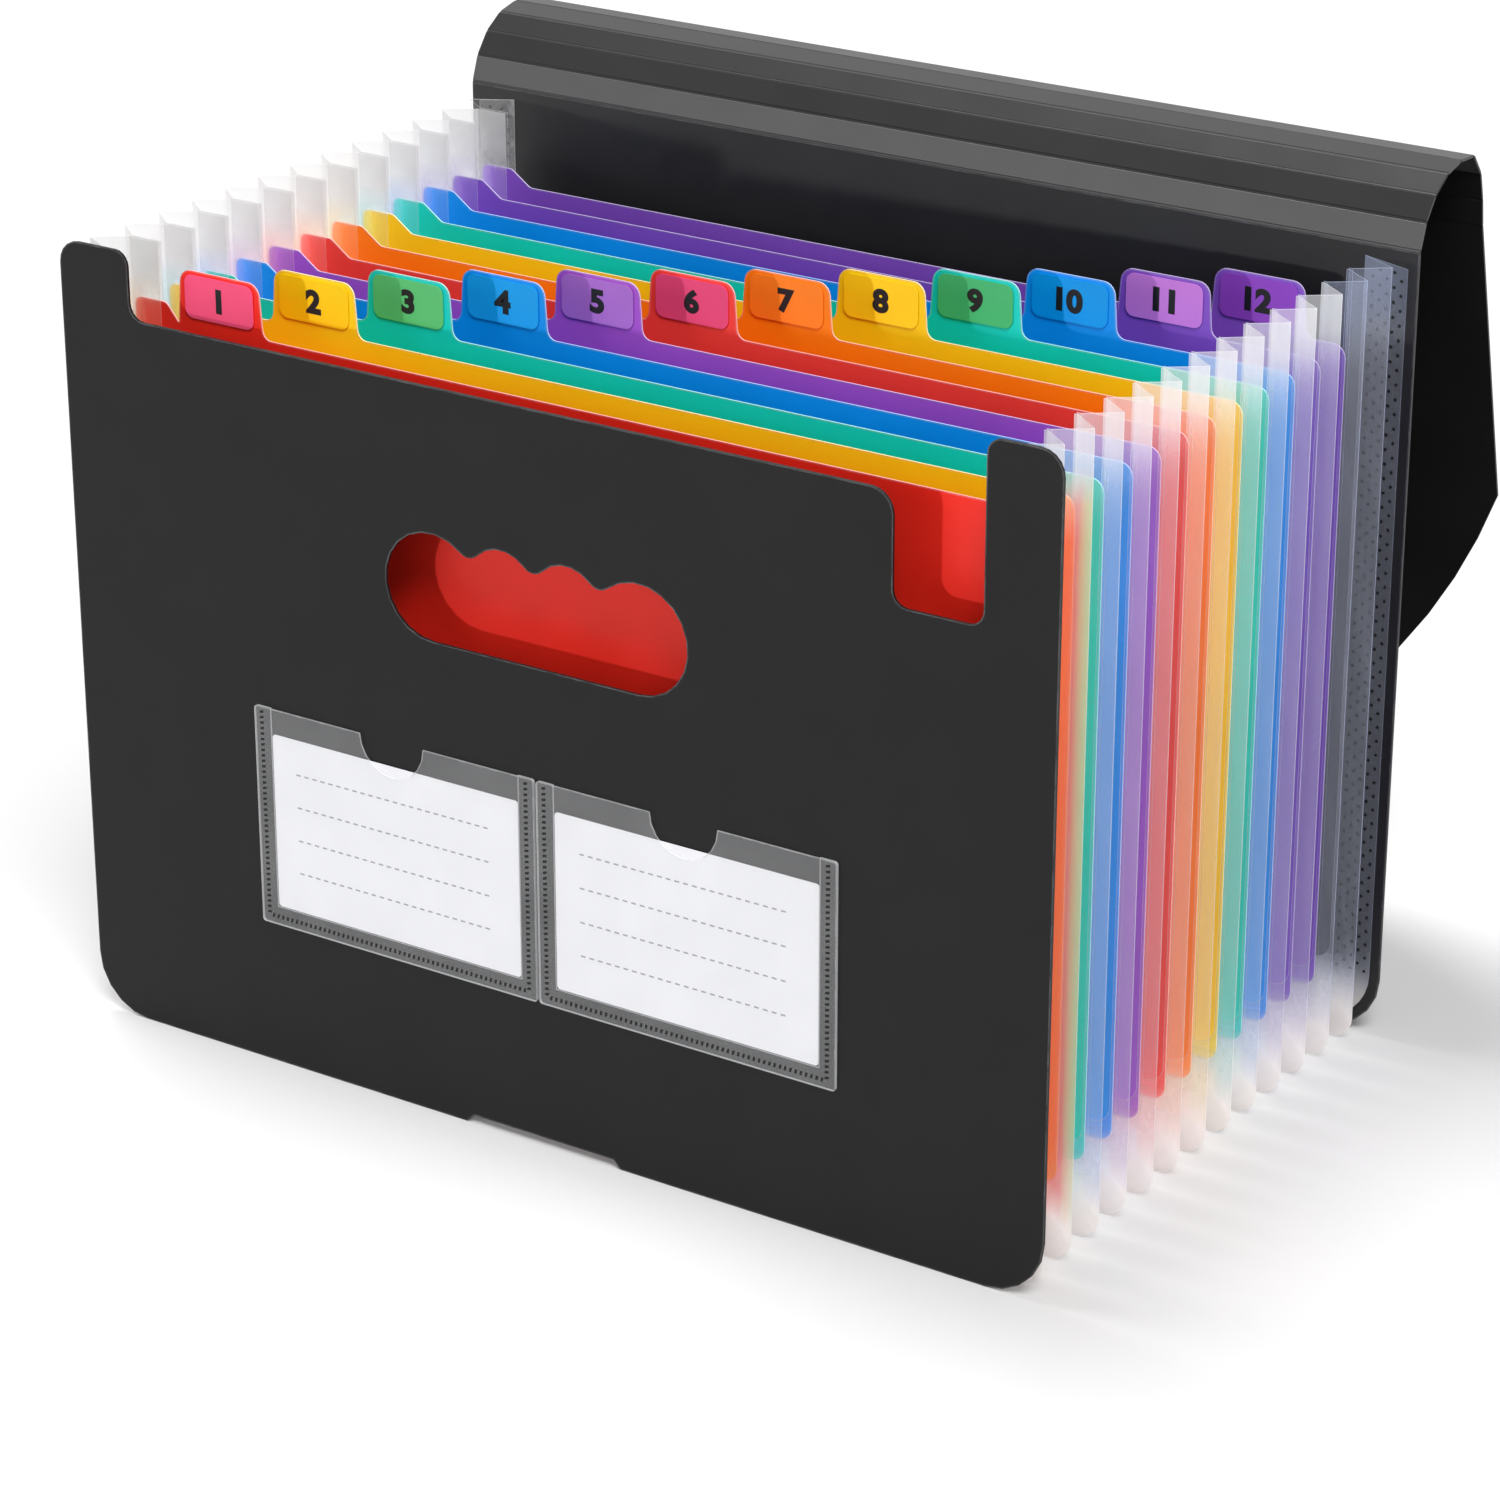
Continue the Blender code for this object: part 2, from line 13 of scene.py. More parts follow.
import bmesh
import bpy
import numpy as np
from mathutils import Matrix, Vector

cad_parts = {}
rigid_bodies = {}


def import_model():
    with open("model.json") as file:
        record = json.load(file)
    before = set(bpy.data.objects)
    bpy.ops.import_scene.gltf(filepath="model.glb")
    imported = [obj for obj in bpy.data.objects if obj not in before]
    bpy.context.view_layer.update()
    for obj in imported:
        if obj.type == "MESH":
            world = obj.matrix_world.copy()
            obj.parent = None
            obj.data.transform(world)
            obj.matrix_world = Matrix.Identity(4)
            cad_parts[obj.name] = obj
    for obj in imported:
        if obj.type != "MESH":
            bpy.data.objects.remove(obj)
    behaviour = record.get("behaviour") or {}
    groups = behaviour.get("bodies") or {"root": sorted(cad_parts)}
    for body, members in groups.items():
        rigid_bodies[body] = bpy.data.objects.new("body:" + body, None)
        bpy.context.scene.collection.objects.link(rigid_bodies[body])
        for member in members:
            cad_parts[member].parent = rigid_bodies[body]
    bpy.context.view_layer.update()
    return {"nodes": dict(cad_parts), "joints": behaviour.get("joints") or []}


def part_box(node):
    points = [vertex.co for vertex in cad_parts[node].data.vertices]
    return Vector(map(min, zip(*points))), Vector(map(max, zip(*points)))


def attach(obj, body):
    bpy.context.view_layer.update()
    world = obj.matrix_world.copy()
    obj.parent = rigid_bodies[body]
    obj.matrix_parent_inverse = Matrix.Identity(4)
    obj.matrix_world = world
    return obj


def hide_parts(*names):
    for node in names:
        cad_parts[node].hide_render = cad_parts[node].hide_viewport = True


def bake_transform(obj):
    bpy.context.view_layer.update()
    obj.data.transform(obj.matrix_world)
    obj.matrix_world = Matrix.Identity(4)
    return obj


# Camera
CAMERA_PLACE = (0.72729, -1.11641, 0.63495)
CAMERA_ELEVATION = math.radians(22.84)
CAMERA_AZIMUTH = math.radians(33.87)
CAMERA_LENS = 115.16
CAMERA_SENSOR = 36.0

# Light. A lamp is (direction towards it, width in degrees, level), where the level is the
# share of a white surface's brightness that it gives when it faces the lamp
FILL_LEVEL = 0.20
LAMPS = {
    "main": ((0.400, -0.414, 0.818), 24, 0.71),
    "top": ((-0.312, 0.075, 0.947), 26, 0.70),
    "right": ((0.97, -0.14, 0.18), 30, 0.50),
    "left": ((-0.50, -0.82, 0.25), 20, 0.09),
    "key": ((-0.34, -0.94, 0.02), 2, 0.27),
}
FLOOR_SIZE = 12.0
FLOOR_DROP = 0.0001
FLOOR_WHITE = 0.68
FLOOR_BOUNCE = 0.28
FLOOR_LIFT = 0.03

# Places on a divider: right of the first is only its straight edge, left of the second only
# its ear
STRAIGHT_EDGE_START = 0.1
EAR_END = -0.14

# Bellows film: where it lies
FILM_SEAT = 0.00045
FOLD_GAP = 0.0006
FOLD_LINE = 0.00025
FOLD_WHITENESS = (0.8, 0.35, 1.0, 0.35, 0.8)
LEFT_FLANGE = 0.0105
RIGHT_FLANGE = 0.0012
BOTTOM_FLANGE = 0.0060
COVER_FLANGE_INSET = 0.0030
COVER_FLANGE_DROP = 0.0020
COVER_FOLD_SETBACK = 0.0030
INNER_CORNER = 0.005
OUTER_CORNER = 0.007
COVER_FLANGE_CORNER = 0.0163
FILM_REACH_SHARE = 0.80
PANEL_WAVE = 0.0004
WAVE_CYCLES = (2.3, 5.1, 9.4)
SHARP_FOLD = math.radians(25)

# Bellows film: the steps along each leg of its folds, and along its path. A leg's points are
# its start, one close to each of its folds, and the evenly spaced ones between
PANEL_STEPS = 6
FLANGE_STEPS = 2
LEG_STEPS = (FLANGE_STEPS, PANEL_STEPS, PANEL_STEPS, FLANGE_STEPS)
FLANGE_POINTS = FLANGE_STEPS + 2
NEAR_FOLD = 0.05
WIDEST_FOLD_SHARE = 0.25
SIDE_STEPS = 22
CORNER_STEPS = 8
BOTTOM_STEPS = 28

# Bellows film: its haze and its tint, both partly painted light
FILM_OPACITY = 0.20
CLEAR_FILM_OPACITY = 0.12
LAST_FILM_OPACITY = 0.09
LEFT_FILM_OPACITY = 0.66
# painted shade: the left film's white is darker towards its top, to even out the light there
LEFT_TOP_PAINTED_SHADE = 0.20
LEFT_TOP_DEPTH = 0.01
EAR_FILM_OPACITY = 0.22
LAST_FLANGE_OPACITY = 0.24
SHADOW_SHARE = 0.4
STREAK_OPACITY = 0.30
STREAK_WIDTH = 0.02
CREASE_WEIGHT = 6.0
FOLD_OPACITY = 0.85
FORWARD_SHARE = 0.50
LOW_HAZE = 0.72
# painted light: the film on the right is hazier, so whiter, towards its top, for light from above
TOP_PAINTED_LIGHT = 0.24
TOP_PAINTED_LIGHT_DEPTH = 0.036
# painted light: the colours of the sheets mixed into the film, which has none of its own
PAINTED_BLEED_TURN = 0.58
PAINTED_BLEED_SHARE = 0.40
TINT_FADE = 0.008
# painted light: a red band on the second pleat, for the lit red of the first divider
FIRST_BAND_OPACITY = 0.70
FIRST_BAND_PAINTED_SHARE = 0.88
FIRST_BAND_END = (0.75, 0.5)

# Webs in the lid's creases
WEB_THICKNESS = 0.0005
WEB_OVERLAP = 0.0002
CREASE_GAP = 0.0006
WEB_STEPS = 6
SHARP_WEB = math.radians(40)

# Marks
NUMBER_HEIGHT = 0.0072
NUMBER_TYPE_SIZE = 0.01
NUMBER_BOLDNESS = 0.0002
NUMBER_ROUNDING = 0.00035
NUMBER_STRETCH = 1.12
INK_THICKNESS = 0.00003
MARK_LIFT = 0.00003
DASH_LENGTH = 0.0016
DASH_PITCH = 0.0029
DASH_WIDTH = 0.0005
DASH_LINE_DROPS = (0.0107, 0.0210, 0.0314, 0.0417)
DASH_MARGIN = 0.0083
WELD_BAR_PITCH = 0.0017
WELD_BAR_LENGTH = 0.0013
WELD_BAR_WIDTH = 0.00075
WELD_BAR_LEAN = 0.0003
WELD_BAR_INSET = 0.0027
COVER_DOT_PITCH = 0.0044
COVER_DOT_COLUMNS = 5
COVER_DOT_SPACING = 0.00225
COVER_DOT_INSET = 0.0018
COVER_DOT_RADIUS = 0.0005
COVER_DOT_STAGGER = 0.25
COVER_DOT_LIFT = 0.00009
DOT_SIDES = 8

# Painted highlights along the sheets' edges
SHEET_RIM = 0.0004
SHEET_RIM_HIGHLIGHT = 0.34
SHEET_RIM_OPACITY = 0.36
RIM_SETBACK = 0.004
COVER_RIM = 0.0004
COVER_RIM_OPACITY = 0.18
POCKET_RIM = 0.0003
POCKET_RIM_OPACITY = 0.34
RIM_UNEVENNESS = 0.12
RIM_MITRE_LIMIT = 0.5
FACES_FRONT = -0.9
SAME_PLACE = 1e-6

DIVIDER_COUNT = 12
SEED = 7


def linear(red, green, blue):
    """A screen colour, 0 to 255, as a linear one."""
    parts = []
    for value in (red, green, blue):
        value /= 255
        parts.append(value / 12.92 if value <= 0.04045 else ((value + 0.055) / 1.055) ** 2.4)
    return (*parts, 1.0)


RED = linear(255, 44, 30)
AMBER = linear(255, 220, 18)
TEAL = linear(4, 216, 212)
BLUE = linear(6, 152, 246)
PURPLE = linear(176, 88, 208)
CRIMSON = linear(255, 68, 58)
ORANGE = linear(255, 138, 14)
VIOLET = linear(134, 82, 196)
SHEET_COLOURS = (
    RED, AMBER, TEAL, BLUE, PURPLE, CRIMSON, ORANGE, AMBER, TEAL, BLUE, VIOLET, VIOLET,
)
LABEL_COLOURS = (
    linear(255, 84, 128), linear(255, 214, 10), linear(92, 196, 122), linear(20, 160, 240),
    linear(176, 112, 206), linear(240, 76, 124), linear(255, 136, 34), linear(255, 216, 24),
    linear(70, 186, 120), linear(0, 152, 236), linear(200, 124, 216), linear(138, 66, 186),
)
COVER_BLACK = linear(22, 22, 23)
# painted light: lighter than the front cover's black, to lift the shaded inside of the rear cover
REAR_BLACK_PAINTED_LIGHTER = linear(30, 30, 31)
LID_BLACK = linear(25, 25, 26)
INK = linear(18, 18, 22)
DASH_GREY = linear(158, 158, 164)
DOT_BLACK = linear(9, 9, 10)
PAPER = linear(240, 240, 244)
FILM_WHITE = linear(248, 249, 251)
LOW_FILM_WHITE = linear(250, 246, 245)
LEFT_FILM_WHITE = linear(250, 250, 250)
# painted shade: a slate grey for the film in front of the dark rear cover
LAST_FILM_PAINTED_SLATE = linear(196, 206, 232)
# colours of the painted highlights along the covers' and the pockets' edges
COVER_RIM_GREY = linear(150, 150, 152)
POCKET_RIM_WHITE = linear(205, 207, 210)
WHITE = (1.0, 1.0, 1.0, 1.0)

# Materials: how strongly each black sheet mirrors, how rough the pieces are, the painted
# highlight on the coloured sheets' edges, how the pockets' edges show, and what a noise's middle
# range is
FRONT_SHINE = 0.16
REAR_SHINE = 0.28
FLAP_SHINE = 0.30
# painted light: the lid strips are one sheet, but each mirrors more or less so its tone follows
# the light
STRIP_SHINES_FOR_PAINTED_LIGHT = (0.60, 0.30, 0.10, 0.50, 0.42, 0.30, 0.30, 0.30)
COVER_ROUGHNESS = 0.40
LID_ROUGHNESS = 0.36
LABEL_ROUGHNESS = 0.42
PAPER_ROUGHNESS = 0.65
INK_ROUGHNESS = 0.5
MARK_ROUGHNESS = 0.6
RIPPLE_WEIGHT = 12.0
# painted highlight on the coloured sheets' cut faces
SHEET_EDGE_HIGHLIGHT = 0.42
SHEET_GLOW = 0.04
POCKET_EDGE_OPACITY = 0.42
NOISE_MIDDLE = (0.3, 0.7)
CUT_FACE_LIMIT = 0.5


# Nodes. A noise's scale is in cells for each metre, and a bump's depth in metres


def node(tree, kind, values=None, **settings):
    """A shader node. Values are numbers, colours or outputs of other nodes."""
    made = tree.nodes.new(f"ShaderNode{kind}")
    for name, value in settings.items():
        setattr(made, name, value)
    for key, value in (values or {}).items():
        if isinstance(value, bpy.types.NodeSocket):
            tree.links.new(value, made.inputs[key])
        else:
            made.inputs[key].default_value = value
    return made


def new_tree(name):
    made = bpy.data.materials.new(name)
    made.use_nodes = True
    made.node_tree.nodes.clear()
    return made, made.node_tree


def finish_tree(tree, surface):
    node(tree, "OutputMaterial", {"Surface": surface})


def maths(tree, operation, *values):
    made = node(tree, "Math", dict(enumerate(values)), operation=operation)
    return made.outputs[0]


def mix_colours(tree, factor, first, second):
    made = node(tree, "Mix", {0: factor, 6: first, 7: second}, data_type="RGBA")
    return made.outputs[2]


def mix_shaders(tree, share, first, second):
    return node(tree, "MixShader", {0: share, 1: first, 2: second}).outputs[0]


def noise(tree, place, scale, detail, stretch=None):
    """A noise of about 0.5 on average."""
    if stretch:
        place = node(tree, "Mapping", {"Vector": place, "Scale": stretch}).outputs[0]
    made = node(tree, "TexNoise", {"Vector": place, "Scale": scale, "Detail": detail})
    return made.outputs["Fac"]


def uneven(tree, place, scale, detail, low, high):
    """A value that wanders from low to high, which a noise's middle range gives."""
    values = {"Value": noise(tree, place, scale, detail), "To Min": low, "To Max": high}
    start, end = NOISE_MIDDLE
    return node(tree, "MapRange", values | {"From Min": start, "From Max": end}).outputs[0]


def toned(tree, colour, tone):
    made = node(tree, "VectorMath", {0: colour[:3], "Scale": tone}, operation="SCALE")
    return made.outputs[0]


def bumped(tree, height, strength, depth):
    values = {"Strength": strength, "Distance": depth, "Height": height}
    return node(tree, "Bump", values).outputs[0]


def glossy(tree, colour, roughness, shine, normal=None):
    values = {"Base Color": colour, "Roughness": roughness, "Specular IOR Level": shine}
    if normal is not None:
        values["Normal"] = normal
    return node(tree, "BsdfPrincipled", values).outputs[0]


def translucent(tree, colour):
    return node(tree, "BsdfTranslucent", {"Color": colour}).outputs[0]


def clear(tree):
    return node(tree, "BsdfTransparent", {"Color": WHITE}).outputs[0]


def object_place(tree):
    return node(tree, "TexCoord").outputs["Object"]


def cut_edge(tree):
    """1 on the narrow cut faces of a sheet that stands across Y, and 0 on its broad ones."""
    normal = node(tree, "TexCoord").outputs["Normal"]
    across = node(tree, "SeparateXYZ", {0: normal}).outputs[1]
    return maths(tree, "LESS_THAN", maths(tree, "ABSOLUTE", across), CUT_FACE_LIMIT)


# Materials


def black_sheet(name, colour, shine, roughness):
    """Satin sheet with a fine grain and slight uneven gloss."""
    made, tree = new_tree(name)
    place = object_place(tree)
    base = toned(tree, colour, uneven(tree, place, scale=60, detail=3, low=0.92, high=1.08))
    grain = noise(tree, place, scale=2600, detail=2)
    ripple = noise(tree, place, scale=14, detail=1)
    height = maths(tree, "MULTIPLY_ADD", ripple, RIPPLE_WEIGHT, grain)
    normal = bumped(tree, height, strength=0.25, depth=0.00006)
    gloss = uneven(
        tree, place, scale=35, detail=4, low=roughness - 0.02, high=roughness + 0.03
    )
    finish_tree(tree, glossy(tree, base, gloss, shine, normal))
    return made


def coloured_sheet(name, colour):
    """Translucent satin sheet, with a painted highlight on its cut edges."""
    made, tree = new_tree(name)
    place = object_place(tree)
    body = toned(tree, colour, uneven(tree, place, scale=18, detail=3, low=0.93, high=1.06))
    # painted highlight: the cut faces get a lighter copy of the sheet's colour
    edge = [c + (1 - c) * SHEET_EDGE_HIGHLIGHT for c in colour[:3]]
    base = mix_colours(tree, cut_edge(tree), body, (*edge, 1.0))
    normal = bumped(tree, noise(tree, place, scale=1800, detail=2), strength=0.12, depth=0.00004)
    gloss = uneven(tree, place, scale=30, detail=3, low=0.34, high=0.44)
    sheet = glossy(tree, base, gloss, shine=0.30, normal=normal)
    finish_tree(tree, mix_shaders(tree, SHEET_GLOW, sheet, translucent(tree, base)))
    return made


def film_opacity(tree, place, crinkled):
    """The opacity that the film's points carry, slightly clouded, and more along the streaks
    of crinkled film. The film shades less than it shows."""
    own = node(tree, "Attribute", attribute_name="opacity").outputs["Fac"]
    clouds = uneven(tree, place, scale=30, detail=2, low=-0.03, high=0.03)
    shadow = node(tree, "LightPath").outputs["Is Shadow Ray"]
    share = maths(tree, "MULTIPLY_ADD", shadow, SHADOW_SHARE - 1, 1.0)
    opacity = maths(tree, "MULTIPLY", maths(tree, "ADD", own, clouds), share)
    streaks = noise(tree, place, scale=55, detail=3, stretch=(1.0, 0.5, 1.0))
    distance = maths(tree, "ABSOLUTE", maths(tree, "SUBTRACT", streaks, 0.5))
    values = {"Value": distance, "From Max": STREAK_WIDTH, "To Min": STREAK_OPACITY, "To Max": 0.0}
    line = node(tree, "MapRange", values).outputs[0]
    return maths(tree, "ADD", opacity, maths(tree, "MULTIPLY", line, crinkled))


def film_look(name):
    """Frosted film. It lets much light straight through, and scatters the rest forwards more
    than back. Its points carry their opacity, their tint and how crinkled they are."""
    made, tree = new_tree(name)
    place = node(tree, "UVMap", uv_map="film").outputs[0]
    # the tint holds painted light: the sheets' colours and painted shade, mixed into the film's
    # white
    tint = node(tree, "Attribute", attribute_name="tint").outputs["Color"]
    crinkled = node(tree, "Attribute", attribute_name="crinkle").outputs["Fac"]
    wave = noise(tree, place, scale=25, detail=2, stretch=(3.0, 0.3, 1.0))
    creases = noise(tree, place, scale=160, detail=3, stretch=(1.0, 0.45, 1.0))
    creases = maths(tree, "MULTIPLY", creases, crinkled)
    height = maths(tree, "MULTIPLY_ADD", creases, CREASE_WEIGHT, wave)
    normal = bumped(tree, height, strength=0.4, depth=0.0003)
    back = glossy(tree, tint, roughness=0.32, shine=0.35, normal=normal)
    frost = mix_shaders(tree, FORWARD_SHARE, back, translucent(tree, tint))
    opacity = film_opacity(tree, place, crinkled)
    finish_tree(tree, mix_shaders(tree, opacity, clear(tree), frost))
    return made


def pocket_film(name, outer_y):
    """The card pockets' film. Its outer face has all its haze, and its cut edges are white."""
    made, tree = new_tree(name)
    place = object_place(tree)
    y = node(tree, "SeparateXYZ", {0: place}).outputs[1]
    outside = maths(tree, "LESS_THAN", y, outer_y)
    haze = uneven(tree, place, scale=45, detail=3, low=0.13, high=0.17)
    haze = maths(tree, "MULTIPLY", haze, outside)
    values = {0: cut_edge(tree), 2: haze, 3: POCKET_EDGE_OPACITY}
    opacity = node(tree, "Mix", values, data_type="FLOAT").outputs[0]
    normal = bumped(tree, noise(tree, place, scale=70, detail=2), strength=0.2, depth=0.0002)
    film = glossy(tree, FILM_WHITE, roughness=0.22, shine=0.6, normal=normal)
    finish_tree(tree, mix_shaders(tree, opacity, clear(tree), film))
    return made


def rim_look(name, colour, opacity):
    """A painted highlight along a sheet's edge, a little uneven along its length."""
    made, tree = new_tree(name)
    low, high = opacity - RIM_UNEVENNESS, opacity + RIM_UNEVENNESS
    share = uneven(tree, object_place(tree), scale=220, detail=3, low=low, high=high)
    edge = glossy(tree, colour, roughness=0.4, shine=0.4)
    finish_tree(tree, mix_shaders(tree, share, clear(tree), edge))
    return made


def matt(name, colour, roughness):
    """Paper, print or ink: matt, with a fine tooth and a slightly uneven tone."""
    made, tree = new_tree(name)
    place = object_place(tree)
    base = toned(tree, colour, uneven(tree, place, scale=90, detail=3, low=0.97, high=1.02))
    normal = bumped(tree, noise(tree, place, scale=900, detail=3), strength=0.2, depth=0.00003)
    finish_tree(tree, glossy(tree, base, roughness, shine=0.25, normal=normal))
    return made


def wear(obj, look):
    obj.data.materials.clear()
    obj.data.materials.append(look)


# Meshes


def new_object(name, data):
    obj = bpy.data.objects.new(name, data)
    bpy.context.scene.collection.objects.link(obj)
    return obj


def add_mesh(name, places, faces, look, smooth=False):
    mesh = bpy.data.meshes.new(name)
    mesh.from_pydata([tuple(place) for place in places], [], faces)
    mesh.materials.append(look)
    if smooth:
        mesh.shade_smooth()
    return new_object(name, mesh)


def grid_faces(rows, columns):
    faces = []
    for i in range(rows - 1):
        for j in range(columns - 1):
            a = i * columns + j
            faces.append((a, a + 1, a + columns + 1, a + columns))
    return faces


# Bellows film


def sheet_top():
    """The height of a divider's long straight edge, between its ear and its tab."""
    points = [v.co for v in frame["nodes"]["divider_01"].data.vertices]
    return max(point.z for point in points if point.x > STRAIGHT_EDGE_START)


def sheet_ear_top():
    """The height of a divider's left ear."""
    points = [v.co for v in frame["nodes"]["divider_12"].data.vertices]
    return max(point.z for point in points if point.x < EAR_END)


def middle_y(node_name):
    return sum(corner.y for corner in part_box(node_name)) / 2


def film_frame():
    """The film's main lines, from the frame: how far its folds reach, and its planes in Y."""
    sheet_low, sheet_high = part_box("divider_01")
    pleat_low, pleat_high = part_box("pleat_02")
    planes = [middle_y("front_cover")]
    planes += [middle_y(f"divider_{k:02}") for k in range(1, DIVIDER_COUNT + 1)]
    planes.append(middle_y("rear_cover"))
    inner_x = sheet_high.x + FOLD_GAP
    inner_z = sheet_low.z - FOLD_GAP
    return {
        "planes": planes,
        "inner_x": inner_x,
        "half_width": sheet_high.x,
        "ear_top": sheet_ear_top(),
        "inner_z": inner_z,
        "side_reach": (pleat_high.x - inner_x) * FILM_REACH_SHARE,
        "bottom_reach": inner_z - pleat_low.z,
        "top": pleat_high.z,
        "sheet_top": sheet_top(),
        "half_sheet": (sheet_high.y - sheet_low.y) / 2,
        "half_cover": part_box("rear_cover")[1].y - planes[-1],
        "cover_half_width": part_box("rear_cover")[1].x,
    }


def end_knots(film, at_cover, flange, cover_flange):
    """(reach, distance from the sheet's plane) where the film starts and where it folds."""
    if at_cover:
        seat = film["half_cover"] + FILM_SEAT
        return [(cover_flange, seat), (-COVER_FOLD_SETBACK, seat)]
    seat = film["half_sheet"] + FILM_SEAT
    return [(-flange, seat), (0.0, seat)]


def section(film, number, outer, flange, cover_flange):
    """The folds of one pleat, from the sheet in front of it to the sheet behind it."""
    front, rear = film["planes"][number - 1], film["planes"][number]
    first = end_knots(film, number == 1, flange, cover_flange)
    last = end_knots(film, number == len(film["planes"]) - 1, flange, cover_flange)
    knots = [(reach, front + y) for reach, y in first]
    knots.append((outer, (front + rear) / 2))
    knots += [(reach, rear - y) for reach, y in reversed(last)]
    return np.array(knots)


def leg_shares(length, steps):
    """Shares of a leg at which it gets points: close to both folds, and evenly between."""
    near = min(WIDEST_FOLD_SHARE, FOLD_LINE / length)
    return [0.0, near, *(i / steps for i in range(1, steps)), 1 - near]


def along_legs(knots):
    """Points along the legs between knots."""
    points = []
    for a, b, steps in zip(knots, knots[1:], LEG_STEPS):
        length = max(np.linalg.norm((b - a)[:2]), SAME_PLACE)
        points += [a + (b - a) * share for share in leg_shares(length, steps)]
    return np.array([*points, knots[-1]])


def bends_of_legs():
    """How freely each point may bow, and how white its fold is."""
    bow, fold = [], []
    for steps, white in zip(LEG_STEPS, FOLD_WHITENESS):
        is_panel = steps == PANEL_STEPS
        shares = [0.0, NEAR_FOLD, *(i / steps for i in range(1, steps)), 1 - NEAR_FOLD]
        bow += [4 * share * (1 - share) * is_panel for share in shares]
        fold += [white] + [0.0] * (len(shares) - 1)
    return np.array([*bow, 0.0]), np.array([*fold, FOLD_WHITENESS[-1]])


def fade(value, start, end):
    """Goes smoothly from 0 at start to 1 at end."""
    share = np.clip((value - start) / (end - start), 0, 1)
    return share * share * (3 - 2 * share)


def film_columns(number, count):
    """Each column's colour, its opacity on the right, and its share of the red band. The colour is
    painted light: a film is given the colour of the sheet behind it and, past the middle of its
    first half, of the next one, for the light that these sheets scatter into it. The second
    pleat also gets a painted red band beside the cover, for the lit red of the first divider,
    which its front edge joins."""
    colours = [*SHEET_COLOURS, FILM_WHITE, FILM_WHITE]
    start = FLANGE_POINTS + 1
    turn = start + 1 + round(PAINTED_BLEED_TURN * PANEL_STEPS)
    colour = np.array([colours[number - 1]] * turn + [colours[number]] * (count - turn))
    body = np.full(count, FILM_OPACITY)
    body[start + 1:turn + 1] = CLEAR_FILM_OPACITY
    if number >= DIVIDER_COUNT:
        body[:] = LAST_FILM_OPACITY
    if number > DIVIDER_COUNT:
        body[-start:] = LAST_FLANGE_OPACITY
    band = np.zeros(count)
    # painted red band beside the cover
    if number == 2:
        band[start:turn + 1] = 1.0
        band[turn + 1:turn + 3] = FIRST_BAND_END
        colour[:turn + 1] = RED
        colour[turn + 1] = np.add(RED, AMBER) / 2
        colour[turn + 2:turn + 4] = AMBER
    return colour, body, band


def film_body(body, x, height, number, film):
    """The film's opacity away from its folds, also on the left, where it is milkier."""
    on_ear = (x > -film["half_width"]) & (height < film["ear_top"])
    left = np.where(on_ear, EAR_FILM_OPACITY, LEFT_FILM_OPACITY)
    return np.where((x < 0) & (number <= DIVIDER_COUNT), left, body)


def film_white(x, height, low, number, film):
    """The film's white: warmer below the sheets, with painted shade that makes it greyer at the
    left top, and painted shade that makes it slate before the dark rear cover."""
    # painted slate shade on the right of the last pleats
    slate = (low * (x > 0) * (number >= DIVIDER_COUNT))[:, :, None]
    right = np.array(LOW_FILM_WHITE) + np.subtract(FILM_WHITE, LOW_FILM_WHITE) * low[:, :, None]
    # painted shade towards the left top
    painted_shade = fade(height, film["sheet_top"] - LEFT_TOP_DEPTH, film["top"])
    left = np.array(LEFT_FILM_WHITE) * (1 - LEFT_TOP_PAINTED_SHADE * painted_shade)[:, :, None]
    white = np.where((x < 0)[:, :, None], left, right)
    return white * (1 - slate) + np.array(LAST_FILM_PAINTED_SLATE) * slate


def film_shades(places, fold, number, film):
    """Each film point's opacity and tint. The folds and edges are whiter, the film on the right is
    hazier towards its top as painted light from above, and the tint's painted colours of the
    sheets show only between the sheets' tops and bottoms."""
    x, height = places[:, :, 0], places[:, :, 2]
    colour, body, band = film_columns(number, len(fold))
    white = np.tile(fold, (len(places), 1))
    white[0] = white[-1] = 1.0
    under_top = fade(height, film["sheet_top"] + TINT_FADE, film["sheet_top"])
    low = fade(height, film["inner_z"] - TINT_FADE, film["inner_z"] + TINT_FADE)
    # painted light from above: more haze towards the top
    top_painted_light = TOP_PAINTED_LIGHT * fade(height, film["top"] - TOP_PAINTED_LIGHT_DEPTH, film["top"])
    if number >= DIVIDER_COUNT:
        top_painted_light = top_painted_light / 2
    haze = np.where(x < 0, 0, top_painted_light) + LOW_HAZE * (1 - low)
    band = band * (x > 0) * under_top * low
    body = film_body(body, x, height, number, film)
    body = body + (FIRST_BAND_OPACITY - body) * band
    opacity = (body + haze) * (1 - white) + FOLD_OPACITY * white
    # painted light: how much of the sheets' colours goes into the film's white
    share = PAINTED_BLEED_SHARE + (FIRST_BAND_PAINTED_SHARE - PAINTED_BLEED_SHARE) * band
    share = (share * under_top * low * (1 - white))[:, :, None]
    tint = film_white(x, height, low, number, film) * (1 - share) + colour[None] * share
    return opacity, tint


def corner_rows(edge_x, inward, side_y, low_y, bottom, corner):
    """The film's path round a lower corner, from the side down to the bottom."""
    rows = []
    for i in range(CORNER_STEPS + 1):
        share = i / CORNER_STEPS
        turn = share * math.pi / 2
        x = edge_x + inward * corner * (1 - math.cos(turn))
        rows.append((x, side_y + (low_y - side_y) * share, bottom + corner * (1 - math.sin(turn))))
    return rows


